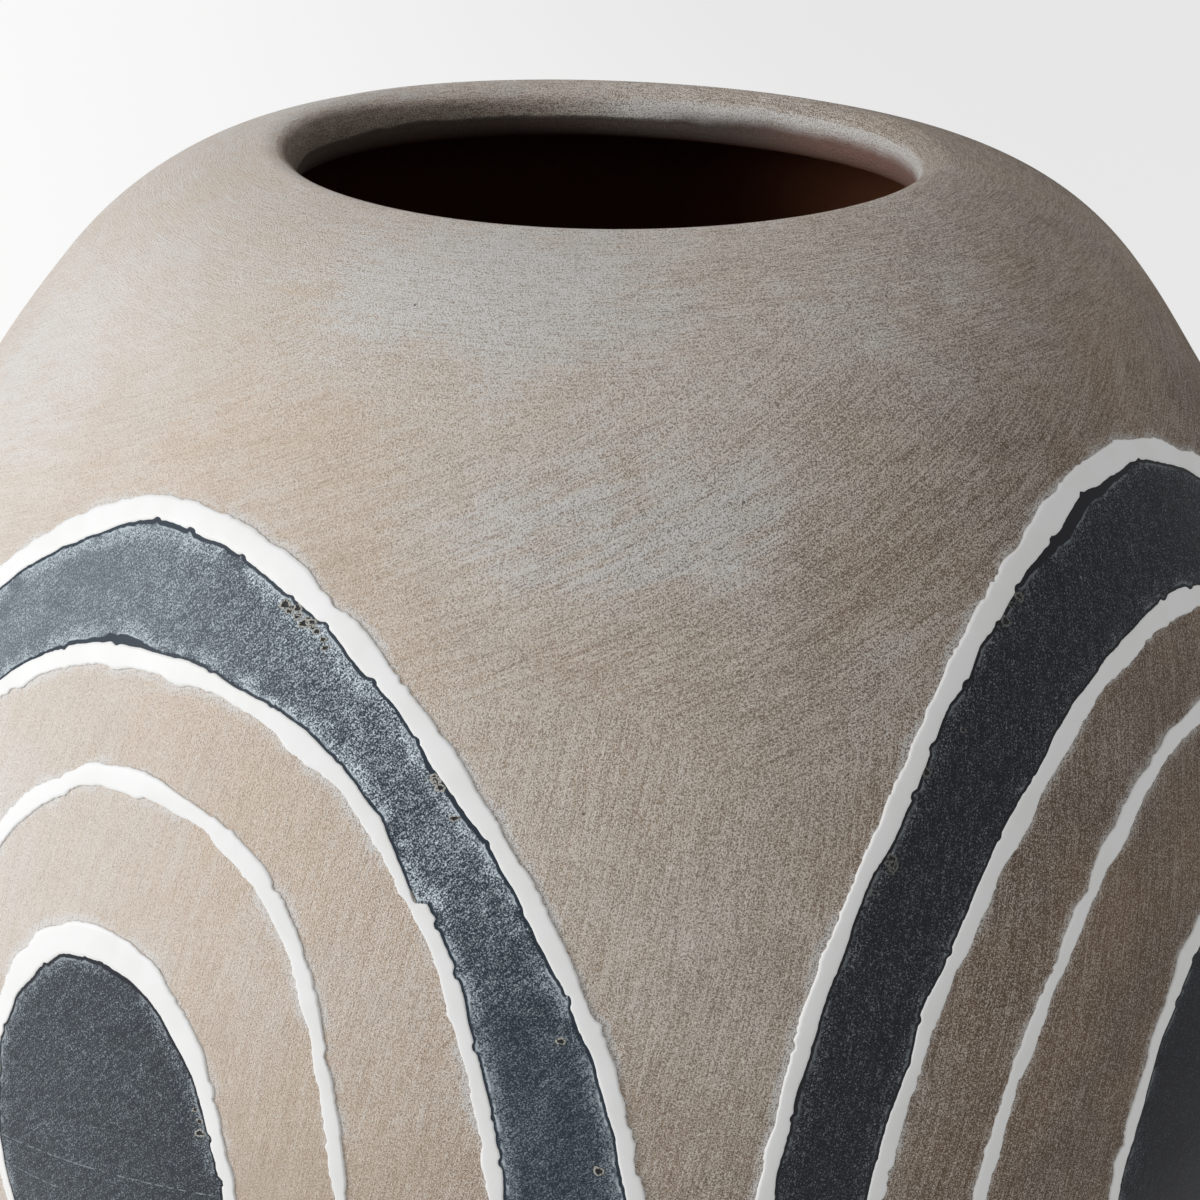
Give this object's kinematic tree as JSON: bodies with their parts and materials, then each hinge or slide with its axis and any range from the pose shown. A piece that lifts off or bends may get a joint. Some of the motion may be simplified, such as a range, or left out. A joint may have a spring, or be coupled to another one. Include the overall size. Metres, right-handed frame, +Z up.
{
  "type": "clay jar",
  "caption": "Round handle-less clay jar with a wide rounded mouth, rubbed whitewash and nested arches in raised white lines and black paint.",
  "frame": {"origin": "centre of the flat base, on the surface the jar stands on", "axes": "+Z up along the jar's axis, -Y the front, midway between two arches"},
  "size_m": [0.36, 0.3616, 0.348],
  "materials": {
    "clay": "matt fired clay with rubbed whitewash",
    "white_line": "raised satin white",
    "black_paint": "matt blue-black with whitewash haze"
  },
  "bodies": {
    "root": {"base_slab": "clay", "lower_wall": "clay", "shoulder_wall": "clay", "rim_coil": "clay", "front_left_outer_line": "white_line", "front_left_second_line": "white_line", "front_left_third_line": "white_line", "front_left_inner_line": "white_line", "front_right_outer_line": "white_line", "front_right_second_line": "white_line", "front_right_third_line": "white_line", "front_right_inner_line": "white_line", "back_right_outer_line": "white_line", "back_right_second_line": "white_line", "back_right_third_line": "white_line", "back_right_inner_line": "white_line", "back_left_outer_line": "white_line", "back_left_second_line": "white_line", "back_left_third_line": "white_line", "back_left_inner_line": "white_line", "front_left_black_band": "black_paint", "front_left_black_field": "black_paint", "front_right_black_band": "black_paint", "front_right_black_field": "black_paint", "back_right_black_band": "black_paint", "back_right_black_field": "black_paint", "back_left_black_band": "black_paint", "back_left_black_field": "black_paint"}
  },
  "joints": []
}
